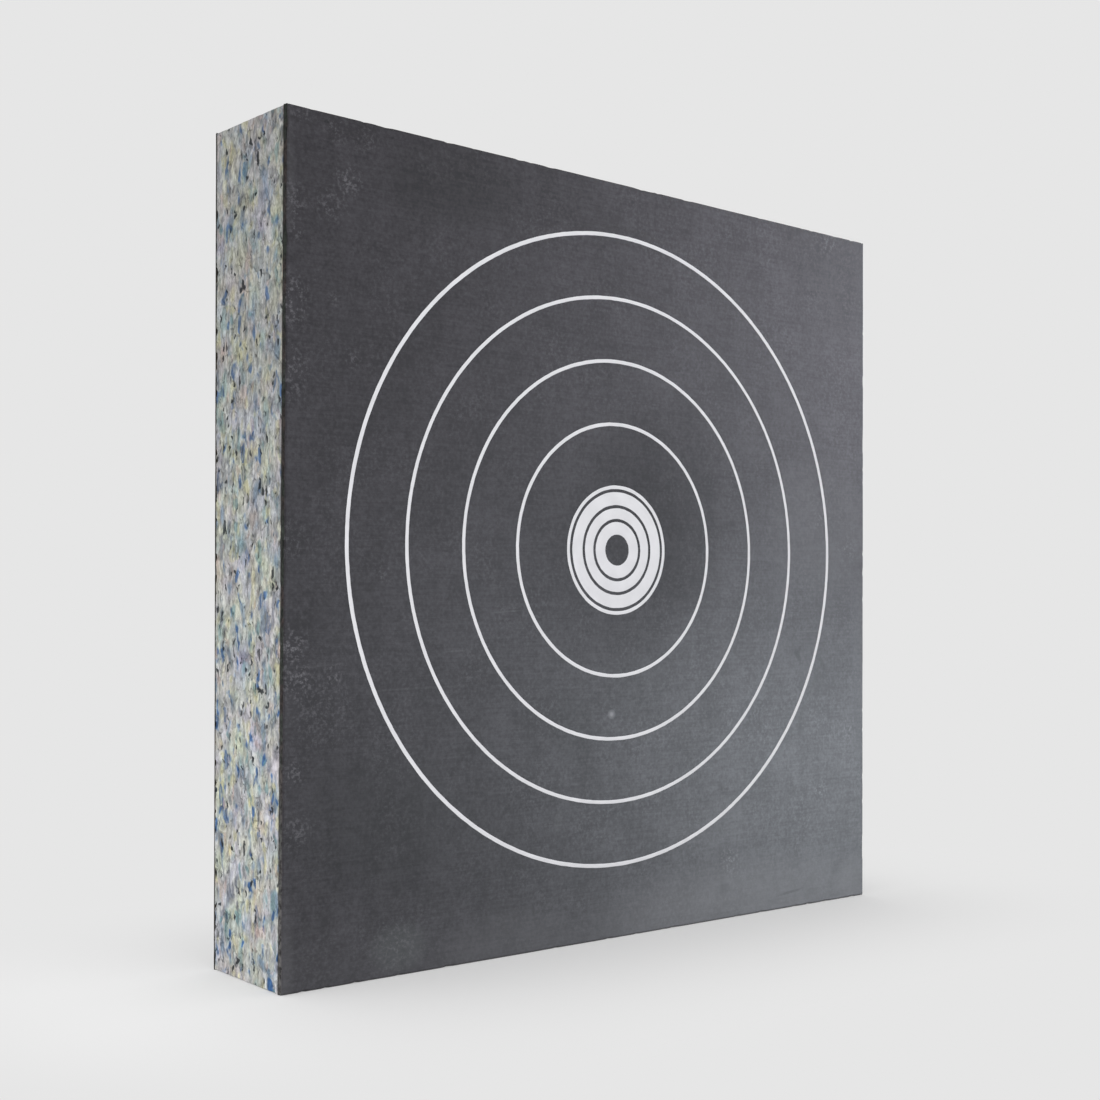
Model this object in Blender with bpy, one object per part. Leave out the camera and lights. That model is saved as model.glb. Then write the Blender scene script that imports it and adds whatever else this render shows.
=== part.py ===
# Archery backstop mat: a block sawn from bonded foam flakes, glued between a dark face sheet
# and a thin dark back sheet, with a white target of circles printed on the face.
#
# The frame: the target faces -Y and +Z is up. The origin is on the flat bottom cut, straight
# below the target's centre, halfway through the block. Every layer is drawn in this one frame,
# so that two layers that meet share the same plane.

import math

import bmesh
import bpy

# The square that the block is sawn to
SLAB_WIDTH = 0.600
SLAB_HEIGHT = 0.600

# The layers, from the front to the back
FRONT_SHEET_THICKNESS = 0.004
FRONT_GLUE_THICKNESS = 0.00025
CORE_DEPTH = 0.0945
BACK_GLUE_THICKNESS = 0.00025
BACK_SHEET_THICKNESS = 0.001

# The saw wanders in foam, so each corner of the cut ends a little way from the true square.
# Each pair is the drift across (+X) and up (+Z), at the front face and at the back face.
FRONT_CORNER_DRIFT = {
    "bottom_left": (0.000, 0.000),
    "bottom_right": (0.001, 0.000),
    "top_right": (-0.001, -0.003),
    "top_left": (0.001, 0.005),
}
BACK_CORNER_DRIFT = {
    "bottom_left": (0.001, 0.000),
    "bottom_right": (0.001, 0.000),
    "top_right": (-0.001, -0.002),
    "top_left": (-0.001, 0.006),
}

# The sheets are soft, so their outer arrises are rounded
FRONT_ARRIS_RADIUS = 0.0015
BACK_ARRIS_RADIUS = 0.0004
ARRIS_SEGMENTS = 4

# The printed target
TARGET_CENTRE_HEIGHT = 0.3085
INK_THICKNESS = 0.0003
CIRCLE_LINE_WIDTH = 0.0033
INNER_CIRCLE_RADIUS = 0.100
SECOND_CIRCLE_RADIUS = 0.150
THIRD_CIRCLE_RADIUS = 0.200
OUTER_CIRCLE_RADIUS = 0.250

# The bull, from its dark dot outwards: three white bands with a dark line after each, then an outline
BULL_DOT_RADIUS = 0.0122
BULL_INNER_BAND_WIDTH = 0.0103
BULL_MIDDLE_BAND_WIDTH = 0.0088
BULL_OUTER_BAND_WIDTH = 0.0106
BULL_DARK_LINE_WIDTH = 0.0022
BULL_OUTLINE_WIDTH = 0.0031

# Facets round a printed circle, by its size
CIRCLE_STEPS = 144
BULL_STEPS = 96

BLOCK_DEPTH = (
    FRONT_SHEET_THICKNESS
    + FRONT_GLUE_THICKNESS
    + CORE_DEPTH
    + BACK_GLUE_THICKNESS
    + BACK_SHEET_THICKNESS
)

# Planes between the layers
FACE_Y = -BLOCK_DEPTH / 2
FRONT_SHEET_BACK_Y = FACE_Y + FRONT_SHEET_THICKNESS
CORE_FRONT_Y = FRONT_SHEET_BACK_Y + FRONT_GLUE_THICKNESS
CORE_BACK_Y = CORE_FRONT_Y + CORE_DEPTH
BACK_SHEET_FRONT_Y = CORE_BACK_Y + BACK_GLUE_THICKNESS
BACK_Y = BACK_SHEET_FRONT_Y + BACK_SHEET_THICKNESS


def clear_scene():
    for old in list(bpy.data.objects):
        bpy.data.objects.remove(old, do_unlink=True)


def make_material(name, colour, roughness):
    material = bpy.data.materials.new(name)
    material.use_nodes = True
    shader = material.node_tree.nodes["Principled BSDF"]
    shader.inputs["Base Color"].default_value = (*colour, 1.0)
    shader.inputs["Roughness"].default_value = roughness
    shader.inputs["Metallic"].default_value = 0.0
    return material


def add_object(name, solid, material):
    """Turns a finished bmesh into a named object with its material."""
    bmesh.ops.recalc_face_normals(solid, faces=solid.faces)
    mesh = bpy.data.meshes.new(name)
    solid.to_mesh(mesh)
    solid.free()
    mesh.materials.append(material)
    made = bpy.data.objects.new(name, mesh)
    bpy.context.scene.collection.objects.link(made)
    return made


def sawn_outline(y):
    """The four corners of the saw cuts at depth y, anticlockwise from the bottom left, seen from the front."""
    share = (y - FACE_Y) / (BACK_Y - FACE_Y)
    square = {
        "bottom_left": (-SLAB_WIDTH / 2, 0.0),
        "bottom_right": (SLAB_WIDTH / 2, 0.0),
        "top_right": (SLAB_WIDTH / 2, SLAB_HEIGHT),
        "top_left": (-SLAB_WIDTH / 2, SLAB_HEIGHT),
    }
    corners = []
    for corner, (across, up) in square.items():
        front_across, front_up = FRONT_CORNER_DRIFT[corner]
        back_across, back_up = BACK_CORNER_DRIFT[corner]
        x = across + front_across + (back_across - front_across) * share
        z = up + front_up + (back_up - front_up) * share
        corners.append((x, y, z))
    return corners


def sawn_layer(front_y, back_y):
    """One layer of the block between two depths, with its four sides on the saw cuts."""
    layer = bmesh.new()
    front = [layer.verts.new(corner) for corner in sawn_outline(front_y)]
    back = [layer.verts.new(corner) for corner in sawn_outline(back_y)]
    layer.faces.new(front)
    layer.faces.new(list(reversed(back)))
    for i in range(4):
        following = (i + 1) % 4
        layer.faces.new((front[i], back[i], back[following], front[following]))
    return layer


def round_arrises(layer, y, radius):
    """Rounds the edges that lie in the plane at depth y."""
    arrises = [edge for edge in layer.edges if all(abs(vert.co.y - y) < radius / 10 for vert in edge.verts)]
    bmesh.ops.bevel(
        layer,
        geom=arrises,
        offset=radius,
        offset_type="OFFSET",
        segments=ARRIS_SEGMENTS,
        profile=0.5,
        affect="EDGES",
        clamp_overlap=True,
    )


def make_core(material):
    return add_object("foam_core", sawn_layer(CORE_FRONT_Y, CORE_BACK_Y), material)


def make_front_sheet(material):
    sheet = sawn_layer(FACE_Y, FRONT_SHEET_BACK_Y)
    round_arrises(sheet, FACE_Y, FRONT_ARRIS_RADIUS)
    return add_object("front_sheet", sheet, material)


def make_back_sheet(material):
    sheet = sawn_layer(BACK_SHEET_FRONT_Y, BACK_Y)
    round_arrises(sheet, BACK_Y, BACK_ARRIS_RADIUS)
    return add_object("back_sheet", sheet, material)


def make_glue_films(material):
    add_object("front_glue_film", sawn_layer(FRONT_SHEET_BACK_Y, CORE_FRONT_Y), material)
    add_object("back_glue_film", sawn_layer(CORE_BACK_Y, BACK_SHEET_FRONT_Y), material)


def make_printed_ring(name, inner_radius, outer_radius, steps, material):
    """A flat ring of ink on the face, its section turned once round the target's centre."""
    ring = bmesh.new()
    ink_front_y = FACE_Y - INK_THICKNESS
    section = [
        (inner_radius, ink_front_y, 0.0),
        (outer_radius, ink_front_y, 0.0),
        (outer_radius, FACE_Y, 0.0),
        (inner_radius, FACE_Y, 0.0),
    ]
    corners = [ring.verts.new(corner) for corner in section]
    edges = [ring.edges.new((corners[i], corners[(i + 1) % 4])) for i in range(4)]
    bmesh.ops.spin(
        ring,
        geom=corners + edges,
        cent=(0.0, 0.0, 0.0),
        axis=(0.0, 1.0, 0.0),
        angle=2 * math.pi,
        steps=steps,
        use_merge=True,
        use_duplicate=False,
    )
    made = add_object(name, ring, material)
    made.location = (0.0, 0.0, TARGET_CENTRE_HEIGHT)
    return made


def make_target_circles(material):
    radii = {
        "inner_target_circle": INNER_CIRCLE_RADIUS,
        "second_target_circle": SECOND_CIRCLE_RADIUS,
        "third_target_circle": THIRD_CIRCLE_RADIUS,
        "outer_target_circle": OUTER_CIRCLE_RADIUS,
    }
    half_line = CIRCLE_LINE_WIDTH / 2
    for name, radius in radii.items():
        make_printed_ring(name, radius - half_line, radius + half_line, CIRCLE_STEPS, material)


def make_bull(material):
    widths = {
        "bull_inner_band": BULL_INNER_BAND_WIDTH,
        "bull_middle_band": BULL_MIDDLE_BAND_WIDTH,
        "bull_outer_band": BULL_OUTER_BAND_WIDTH,
        "bull_outline_circle": BULL_OUTLINE_WIDTH,
    }
    inner_radius = BULL_DOT_RADIUS
    for name, width in widths.items():
        make_printed_ring(name, inner_radius, inner_radius + width, BULL_STEPS, material)
        inner_radius += width + BULL_DARK_LINE_WIDTH


def main():
    clear_scene()
    foam = make_material("bonded_foam", (0.323, 0.337, 0.333), 0.95)
    sheet = make_material("dark_sheet", (0.074, 0.074, 0.081), 0.72)
    glue = make_material("dried_glue", (0.36, 0.33, 0.24), 0.45)
    ink = make_material("white_ink", (0.78, 0.78, 0.80), 0.55)
    make_core(foam)
    make_front_sheet(sheet)
    make_back_sheet(sheet)
    make_glue_films(glue)
    make_target_circles(ink)
    make_bull(ink)


main()
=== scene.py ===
# Archery backstop mat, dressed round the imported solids: a sawn block of bonded foam flakes between
# two dark sheets, with a white target of circles printed on the face.
#
# Everything is in metres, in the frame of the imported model: the target faces -Y, +Z is up and the
# block stands on the floor at Z = 0. A size of three numbers runs along X, Y and Z. A colour of
# three whole numbers is as seen in a picture, from 0 to 255.

import math

import bpy
import numpy as np
from mathutils import Matrix, Vector


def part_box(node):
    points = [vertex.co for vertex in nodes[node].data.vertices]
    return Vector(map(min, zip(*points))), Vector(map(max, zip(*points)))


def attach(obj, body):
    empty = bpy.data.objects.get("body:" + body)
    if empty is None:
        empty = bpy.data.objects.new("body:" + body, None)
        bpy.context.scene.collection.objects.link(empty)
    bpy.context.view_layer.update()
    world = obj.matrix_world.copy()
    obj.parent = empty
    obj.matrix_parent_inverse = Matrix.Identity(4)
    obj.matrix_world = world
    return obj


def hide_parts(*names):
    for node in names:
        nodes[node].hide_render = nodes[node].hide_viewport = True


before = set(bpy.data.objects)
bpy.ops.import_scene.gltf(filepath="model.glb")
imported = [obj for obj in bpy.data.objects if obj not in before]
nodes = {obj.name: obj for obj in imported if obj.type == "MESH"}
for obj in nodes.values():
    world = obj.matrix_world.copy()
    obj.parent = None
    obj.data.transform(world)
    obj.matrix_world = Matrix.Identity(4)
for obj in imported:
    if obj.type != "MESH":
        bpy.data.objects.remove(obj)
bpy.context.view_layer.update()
scene = bpy.context.scene

MM = 0.001

# Seeds of the random draws. The ink rings count on from theirs.
FACE_SEED = 21
REAR_SEED = 22
INK_SEED = 30

# The photograph's camera
PHOTO_PIXELS = 1100
FOCAL_PIXELS = 1594.8
PRINCIPAL_POINT = (573.3, 591.7)
CAMERA_PLACE = (-0.8364, -1.0060, 0.2683)
CAMERA_FORWARD = (0.63761, 0.77034, 0.00546)
CAMERA_UP = (-0.00692, -0.00137, 0.99998)
SENSOR_WIDTH_MM = 36.0
NEAREST_SEEN = 0.05
FARTHEST_SEEN = 200.0

# The plain ground that shows round the block, and the floor's own colour, as light from 0 to 1
BACKGROUND = (0.7913,) * 3
FLOOR_COLOUR = (0.80,) * 3

# The floor lies a little under the block, so that the two don't touch
FLOOR_SIZE = 60.0
FLOOR_DROP = 0.05 * MM

# How bright the world's even white light is
WORLD_LEVEL = 1.0

# The floor shows its light and shadow at the block's foot, and the plain ground further away.
# These are half the foot's width and depth, the distances from it where the change starts and
# ends, and the plain ground's share at its start.
HALF_FOOT = (0.3, 0.05)
SHADOW_REACH = (0.0, 0.25)
PLAIN_SHARE_AT_FOOT = 0.35

# Lamps: where each stands, what it looks at, its width and height, how bright its surface is, its
# tint, and whether it serves everything or only diffuse light or gloss
LAMPS = {
    "low_left_softbox": (
        (-0.76, 0.0, 0.06), (-0.3, 0.0, 0.06), (0.6, 0.10), 9.7, (1.0, 1.0, 1.0), "everything",
    ),
    "front_softbox": (
        (-0.6, -2.4, 1.5), (0.0, -0.05, 0.3), (1.6, 1.2), 0.9, (1.0, 1.0, 1.0), "diffuse",
    ),
    "low_sheen_softbox": (
        (0.610, -0.488, 0.07), (0.2, -0.05, 0.07), (0.2, 0.1), 151.0, (0.91, 1.0, 1.08), "gloss",
    ),
    "side_sheen_softbox": (
        (1.086, -0.206, 0.76), (0.2, -0.05, 0.76), (0.7, 0.7), 16.4, (0.995, 1.0, 1.12), "gloss",
    ),
}

# The square that the block is sawn to
SIDE = 0.6

# How finely the pieces are drawn. The lines across the square lie closer near its edges, at these
# distances from an edge.
EDGE_LINES = tuple(x * MM for x in (0.0, 0.45, 0.95, 1.5, 2.2, 3.2, 4.6))
FOAM_SPACING = 1.7 * MM
FACE_SPACING = 3.0 * MM
REAR_SPACING = 4.0 * MM

# The block's four edges that run from front to back are a little rounded
CORE_CORNER_RADIUS = 1.1 * MM
SHEET_CORNER_RADIUS = 0.6 * MM

# The sheets' outer arrises, the rows of points round an arris, and the rows down the cut below
# it, by their shares of the cut's depth
FRONT_ARRIS_RADIUS = 1.5 * MM
REAR_ARRIS_RADIUS = 0.4 * MM
ARRIS_ROWS = 5
CUT_ROWS = (0.35, 0.7, 1.0)

# Long waves in the glued sheets: their lengths, and how deep they sink
WAVELENGTHS = (0.42, 0.31, 0.19, 0.12, 0.085, 0.06)
FACE_WAVE = 0.25 * MM
REAR_WAVE = 0.35 * MM

# Nicks in the sheets' arrises. A nick bites where a random walk round the border climbs past a
# threshold. Each kind has its points for each step of the walk, its threshold and its bite.
# The border also sways a little, in longer steps.
SHEET_NICKS = ((2, 0.62, 2.0), (5, 0.72, 3.2))
FACE_NICK = 1.0 * MM
REAR_NICK = 0.3 * MM
SWAY_STEPS = 90
SWAY_REACH = 0.15 * MM

# Foam flakes, pressed flat along Y as the block was made
FLAKE_SIZE = (13.0 * MM, 7.0 * MM, 13.0 * MM)
CHIP_SIZE = (8.0 * MM, 4.4 * MM, 8.0 * MM)
PIT_SIZE = (9.6 * MM, 4.2 * MM, 9.6 * MM)

# How the flakes' outlines bend and fray: how often in a metre, how roughly, and how far from end
# to end. Then how soft a flake's edge is.
FLAKE_BEND = (75.0, 0.5, (9.0 * MM, 4.5 * MM, 9.0 * MM))
FLAKE_FRAY = (420.0, 0.6, (3.0 * MM, 1.6 * MM, 3.0 * MM))
FLAKE_SOFTNESS = 0.45

# Noises with grains of a size, each with its detail and its roughness
FIBRES = ((8.8 * MM, 3.7 * MM, 8.8 * MM), 3.0, 0.62)
DRIFT = ((27.0 * MM, 27.0 * MM, 27.0 * MM), 1.0, 0.5)
PATCHES = ((23.0 * MM, 15.0 * MM, 24.0 * MM), 1.5, 0.5)
SPOTS = ((15.0 * MM, 10.0 * MM, 16.5 * MM), 1.6, 0.5)
STRANDS = ((7.0 * MM, 2.4 * MM, 8.0 * MM), 2.0, 0.6)
STREAKS = ((8.5 * MM, 3.3 * MM, 8.5 * MM), 2.0, 0.6)
WISPS = ((3.6 * MM, 2.0 * MM, 3.6 * MM), 2.0, 0.6)
GRAIN = ((2.3 * MM, 1.15 * MM, 2.3 * MM), 2.0, 0.65)

# Even noises: how often each repeats in a metre, its detail and, if it isn't 0.5, its roughness
CREASE_NOISE = (90.0, 1.0)
CHIP_CREASE_NOISE = (190.0, 1.0)
SEAM_NOISE = (210.0, 2.0)
RELIEF_NOISE = (420.0, 2.0)
FOAM_PORES = (1500.0, 2.0, 0.7)

# Shifts in place, so that two fields of one kind don't agree
CHIP_SHIFT = (7.3, 1.9, 4.1)
PIT_SHIFT = (2.7, 5.1, 0.4)
COLOUR_SHIFT = (0.3, 0.8, 0.5)

# Where creases and pits open: the values of their fields where each starts and is full
CREASE_EDGE = (0.09, 0.0)
CREASE_OPENS = (0.50, 0.68)
CHIP_CREASE_EDGE = (0.14, 0.0)
CHIP_CREASE_OPENS = (0.50, 0.66)
PIT_OPENS = (0.642, 0.710)

# How deep the foam's relief goes
LOW_FLAKE_DEPTH = 0.40 * MM
CREASE_DEPTH = 0.55 * MM
CHIP_CREASE_DEPTH = 0.25 * MM
PIT_DEPTH = 1.3 * MM
GRAIN_DEPTH = 0.30 * MM

# Ink: its height, its rounded shoulder's width, a point of the rounding as shares of both, how far
# it reaches under the sheet's surface, its facets' length and how far its edges wander
INK_HEIGHT = 0.10 * MM
INK_SHOULDER = 0.16 * MM
INK_ROUNDING = (0.7, 0.25)
INK_FOOT = 0.03 * MM
INK_STEP = 2.0 * MM
INK_WANDER = 0.10 * MM
FEWEST_INK_STEPS = 160

# How far each edge of a printed line lies inside its solid's, since a picture spreads a white edge
CIRCLE_BARE_EDGE = 0.24 * MM
OUTER_CIRCLE_BARE_EDGE = 0.10 * MM
BULL_BARE_EDGE = 0.12 * MM

# The foam's own colour, and how strongly its tint drifts from yellowish to bluish and from pinkish
# to greenish. Each drift moves red, green and blue by its own shares.
FOAM_BASE = (171, 172, 170)
WARM_DRIFT = 0.52
PINK_DRIFT = 0.20
WARM_SHARES = (0.50, 0.42, -1.0)
PINK_SHARES = (0.6, -0.9, 0.5)

# Other foams show a little less towards the top, where this is their share
OTHERS_AT_TOP = 0.78

# Soft patches of other foams: which of three noises tells them, where they start, where they are
# full, how strong they are, and their colour
PATCH_COLOURS = (
    (0, 0.57, 0.71, 0.80, (106, 129, 151)),
    (0, 0.43, 0.29, 0.72, (184, 180, 143)),
    (1, 0.58, 0.72, 0.70, (124, 149, 150)),
    (1, 0.40, 0.27, 0.65, (120, 124, 131)),
    (2, 0.61, 0.74, 0.48, (186, 168, 156)),
    (2, 0.39, 0.27, 0.60, (193, 194, 189)),
)

# Small soft spots, told in the same way. A blue spot has a pale rim and a dark middle.
SPOT_COLOURS = (
    (0, 0.57, 0.65, 0.34, (142, 161, 173)),
    (0, 0.615, 0.690, 0.92, (50, 90, 138)),
    (1, 0.61, 0.73, 0.55, (187, 183, 136)),
    (1, 0.38, 0.28, 0.70, (104, 110, 124)),
    (2, 0.63, 0.73, 0.70, (92, 130, 136)),
    (2, 0.37, 0.28, 0.42, (182, 156, 148)),
)

# Single flakes that stand out, told by the flakes' own random numbers
FLAKE_COLOURS = (
    (0, 0.040, 0.020, 0.80, (62, 98, 142)),
    (1, 0.045, 0.020, 0.50, (120, 146, 148)),
    (1, 0.965, 0.985, 0.35, (180, 175, 146)),
    (2, 0.040, 0.018, 0.65, (88, 91, 98)),
)

# Small chips of other foams: how many in a hundred, and their colour
CHIP_COLOURS = (
    (2, (134, 142, 148)),
    (1, (104, 120, 138)),
    (2, (130, 140, 141)),
    (4, (118, 120, 122)),
    (5, (184, 184, 181)),
    (86, None),
)

# A chip's colour is full at this distance from its edge, counted in chips, and this strong there
CHIP_FULL = 0.32
CHIP_STRENGTH = 0.95

# Single flakes show in strands: the field's values where those start and are full, and how much
# of a flake's colour shows there
STRANDS_SHOW = (0.36, 0.60, 0.30, 1.0)

# What shades the foam: the field's values where each starts and ends, and its shades there
FIBRE_SHADES = (0.28, 0.72, 0.62, 1.09)
WISP_SHADES = (0.25, 0.75, 0.80, 1.06)
GRAIN_SHADES = (0.28, 0.72, 0.84, 1.08)
FLAKE_SHADES = (0.1, 0.9, 0.86, 1.07)

# How much light painted shade takes in the foam's creases, streaks and pits, and its colour in a pit
CREASE_DARKENS = 0.45
CHIP_CREASE_DARKENS = 0.35
STREAK_SHOWS = (0.58, 0.76)
STREAK_DARKENS = 0.43
PIT_DARKENS = 0.92
PIT_SHADE_COLOUR = (38, 41, 44)

# The foam is dark beside the face sheet, over this width, in places: painted seam shade, glue and
# dirt
SEAM_WIDTH = 2.6 * MM
SEAM_DARKENS = 0.8
SEAM_BROKEN = (0.34, 0.58, 0.1, 1.0)

# The foam's fine relief: how high pores, fibres and creases stand, its distance and strength
FOAM_BUMP_SHARES = (0.5, 0.8, -1.2)
FOAM_BUMP = (0.5 * MM, 0.6)
FOAM_ROUGHNESS = 0.95
FOAM_GLOSS = 0.05

# The sheets: their darkest and palest colour, and the tones where these are reached
SHEET_DARK = (35, 33, 37)
SHEET_PALE = (56, 54, 59)
SHEET_TONES = (0.36, 0.64)

# What a sheet's tone is made of: streaks across and up, by their size, then clouds and blotches,
# by how often they repeat in a metre, each with its detail, roughness and share in the tone, and
# last a mottle, which the dust follows too
SHEET_STREAKS = (
    ((45.0 * MM, 45.0 * MM, 2.0 * MM), 3.0, 0.65, 0.22),
    ((11.0 * MM, 11.0 * MM, 90.0 * MM), 2.0, 0.6, 0.10),
)
SHEET_CLOUDS = (
    (26.0, 4.0, 0.6, 0.20),
    (170.0, 2.0, 0.6, 0.18),
)
SHEET_MOTTLE = (430.0, 2.0, 0.6)
MOTTLE_SHARE = 0.30

# Roughness of the sheets where they are darkest and palest, and what dull places and the sawn
# edge add to it. The back is duller. Dull places are darker too, by a share.
FACE_ROUGHNESS = (0.68, 0.62)
REAR_ROUGHNESS = (0.94, 0.88)
DULLED_ROUGHNESS = 0.06
CUT_ROUGHNESS = 0.25
# Painted shade on the dull places, for their weaker sheen
DULL_PAINTED_SHADE = 0.21
SHEET_GLOSS = 0.25

# The sheets' fine relief: the pores' noise, how high pores and specks stand, and its distance
# and strength
SHEET_PORES = (2200.0, 2.0, 0.6)
PORES_RISE = 0.12
SPECKS_RISE = 0.3
SHEET_BUMP = (0.25 * MM, 0.5)

# Pale specks of dust: the mottle where they start and are full, how strong they are, and how much
# of that is lost on the sawn edge
SPECK_COLOUR = (122, 121, 126)
SPECKS_SHOW = (0.47, 0.74)
SPECK_STRENGTH = 0.46
SPECKS_LOST_ON_CUT = 0.6

# How thick dust lies everywhere on a sheet, by a soft noise
DUST_REPEATS = 21.0
EVEN_DUST = (0.42, 0.70, 0.02, 0.16)
# A sheet is paler up to a height: painted reflection of the floor
FLOOR_REFLECTION_HEIGHT = 0.070
FLOOR_REFLECTION_SHARE = 0.05

# The sheets' sawn edge: how far under the outer face it starts and is full, its two colours, and
# the paler one near the floor with the heights where that starts and is full
CUT_STARTS = (0.3 * MM, 0.9 * MM)
CUT_GREENISH = (31, 35, 31)
CUT_REDDISH = (42, 36, 35)
CUT_AT_FOOT = (68, 67, 67)
CUT_FOOT_HEIGHTS = (0.220, 0.020)
CUT_FOOT_SHARE = 0.9

# The sawn edge's two colours change in long clouds, and short tears shade it
CUT_CLOUD_REPEATS = 70.0
CUT_CLOUDS = (0.42, 0.58)
CUT_TEAR_NOISE = (300.0, 2.0, 0.6)
CUT_TEARS = (0.32, 0.68, 0.25, 1.5)

# Where dust and scuffs gather on a sheet: across, up, how far they reach and how thick they lie
FACE_SCUFFS = (
    (-0.288, 0.601, 0.012, 0.60),
    (-0.260, 0.594, 0.014, 0.55),
    (-0.236, 0.592, 0.016, 0.40),
    (-0.250, 0.560, 0.016, 1.00),
    (-0.264, 0.541, 0.020, 0.55),
    (-0.297, 0.540, 0.020, 0.80),
    (-0.291, 0.519, 0.009, 0.60),
    (-0.295, 0.478, 0.020, 0.85),
    (-0.295, 0.462, 0.018, 0.70),
    (-0.295, 0.430, 0.020, 0.70),
    (-0.294, 0.412, 0.016, 0.55),
    (-0.296, 0.310, 0.022, 0.45),
    (-0.294, 0.235, 0.020, 1.15),
    (-0.290, 0.213, 0.018, 1.15),
    (-0.260, 0.215, 0.012, 0.75),
    (-0.272, 0.195, 0.042, 0.35),
    (-0.274, 0.490, 0.007, 0.45),
    (-0.261, 0.476, 0.008, 0.45),
    (-0.247, 0.435, 0.010, 0.45),
    (-0.218, 0.287, 0.010, 0.50),
    (-0.291, 0.149, 0.012, 0.80),
    (-0.288, 0.110, 0.018, 0.60),
    (-0.209, 0.020, 0.026, 0.42),
    (0.250, 0.596, 0.024, 0.50),
    (0.242, 0.341, 0.013, 0.60),
    (0.278, 0.315, 0.017, 0.50),
    (0.279, 0.152, 0.015, 0.40),
    (0.243, 0.099, 0.011, 0.45),
    (0.128, 0.049, 0.018, 0.80),
)
REAR_SCUFFS = (
    (-0.290, 0.040, 0.040, 0.8),
    (0.285, 0.060, 0.050, 0.7),
    (-0.060, 0.590, 0.030, 0.6),
    (0.130, 0.330, 0.060, 0.3),
)

# Single marks on a sheet: across, up, half their length and width in mm, how far they lean to the
# right of upright in degrees, how strong they are and their colour
# Mark colours: painted light, scratches and painted sheen, stains and painted shade, painted shade
# in nicks
PALE_PAINTED_LIGHT = (140, 140, 144)
SCRATCH_AND_SHEEN = (140, 141, 144)
STAIN_AND_SHADE = (22, 22, 24)
NICK_SHADE = (14, 14, 16)
ARRIS_NICK_SHADE = (20, 20, 22)
FACE_MARKS = (
    # Darker clouds
    (-0.160, 0.572, 40.0, 75.0, 0, 0.34, STAIN_AND_SHADE),
    (-0.215, 0.112, 62.0, 95.0, 0, 0.34, STAIN_AND_SHADE),
    # Painted shade, dimming the sheen at the top right
    (0.285, 0.590, 120.0, 110.0, 0, 0.58, STAIN_AND_SHADE),
    (-0.045, 0.170, 36.0, 28.0, 0, 0.32, STAIN_AND_SHADE),
    (0.025, 0.200, 36.0, 44.0, 0, 0.26, STAIN_AND_SHADE),
    (-0.036, 0.052, 12.0, 17.0, 0, 0.25, STAIN_AND_SHADE),
    # Paler places
    # Painted sheen at the right middle
    (0.240, 0.335, 80.0, 80.0, 0, 0.07, SCRATCH_AND_SHEEN),
    # Painted reflection of the floor along the foot
    (0.140, 0.000, 62.0, 210.0, 0, 0.20, PALE_PAINTED_LIGHT),
    # A greenish pale patch and a small pale mark
    (-0.205, 0.020, 22.0, 30.0, 0, 0.08, (132, 144, 140)),
    (-0.059, 0.098, 14.0, 5.0, 10, 0.06, SCRATCH_AND_SHEEN),
    # Painted reflection of the floor along the foot
    (-0.105, 0.008, 34.0, 80.0, 0, 0.085, PALE_PAINTED_LIGHT),
    (0.292, 0.006, 40.0, 36.0, 0, 0.110, PALE_PAINTED_LIGHT),
    # Painted sheen along the left arris
    (-0.299, 0.560, 55.0, 9.0, 0, 0.070, PALE_PAINTED_LIGHT),
    (-0.299, 0.020, 60.0, 11.0, 0, 0.080, PALE_PAINTED_LIGHT),
    # Painted reflection of the floor, low down
    (0.100, 0.078, 30.0, 80.0, 0, 0.050, PALE_PAINTED_LIGHT),
    # The pale spot below the bull
    (-0.005, 0.178, 4.4, 4.6, 0, 0.34, (150, 151, 156)),
    (-0.005, 0.178, 2.2, 2.2, 0, 0.32, (156, 157, 162)),
    # Faint scratches
    (-0.272, 0.2225, 26.0, 1.0, 87, 0.048, SCRATCH_AND_SHEEN),
    (-0.190, 0.2045, 48.0, 1.1, 89, 0.042, SCRATCH_AND_SHEEN),
    (-0.156, 0.2308, 15.0, 1.0, 87, 0.055, SCRATCH_AND_SHEEN),
    (-0.108, 0.2598, 21.0, 1.0, 86, 0.060, SCRATCH_AND_SHEEN),
    (0.228, 0.2417, 24.0, 1.2, 89, 0.060, SCRATCH_AND_SHEEN),
    # Painted shade in nicks, and dark stains
    (0.212, 0.221, 8.5, 3.6, -35, 0.85, NICK_SHADE),
    (0.214, 0.226, 5.0, 2.4, 38, 0.55, NICK_SHADE),
    (0.244, 0.213, 11.0, 3.2, -30, 0.60, NICK_SHADE),
    (0.215, 0.158, 15.0, 3.0, 0, 0.35, STAIN_AND_SHADE),
    (0.240, 0.196, 16.0, 8.0, 0, 0.20, STAIN_AND_SHADE),
    (0.203, 0.0135, 22.0, 1.6, 84, 0.42, STAIN_AND_SHADE),
    (0.262, 0.028, 8.0, 8.0, 0, 0.25, STAIN_AND_SHADE),
    (0.122, 0.026, 7.0, 9.0, 0, 0.25, STAIN_AND_SHADE),
    (-0.199, 0.101, 7.0, 8.0, 0, 0.25, STAIN_AND_SHADE),
    # Painted shade in nicks along the top arris
    (-0.268, 0.598, 3.0, 1.6, 90, 0.70, ARRIS_NICK_SHADE),
    (-0.214, 0.597, 2.2, 1.2, 80, 0.60, ARRIS_NICK_SHADE),
)
REAR_MARKS = (
    (0.120, 0.210, 45.0, 1.4, 62, 0.10, SCRATCH_AND_SHEEN),
    (-0.180, 0.410, 7.0, 1.4, -20, 0.45, STAIN_AND_SHADE),
)

# Where the face is dull, round the bull: across, up, and half its height and width in mm
FACE_DULLED = (
    (0.005, 0.312, 120.0, 120.0),
    (0.055, 0.345, 110.0, 110.0),
)

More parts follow.
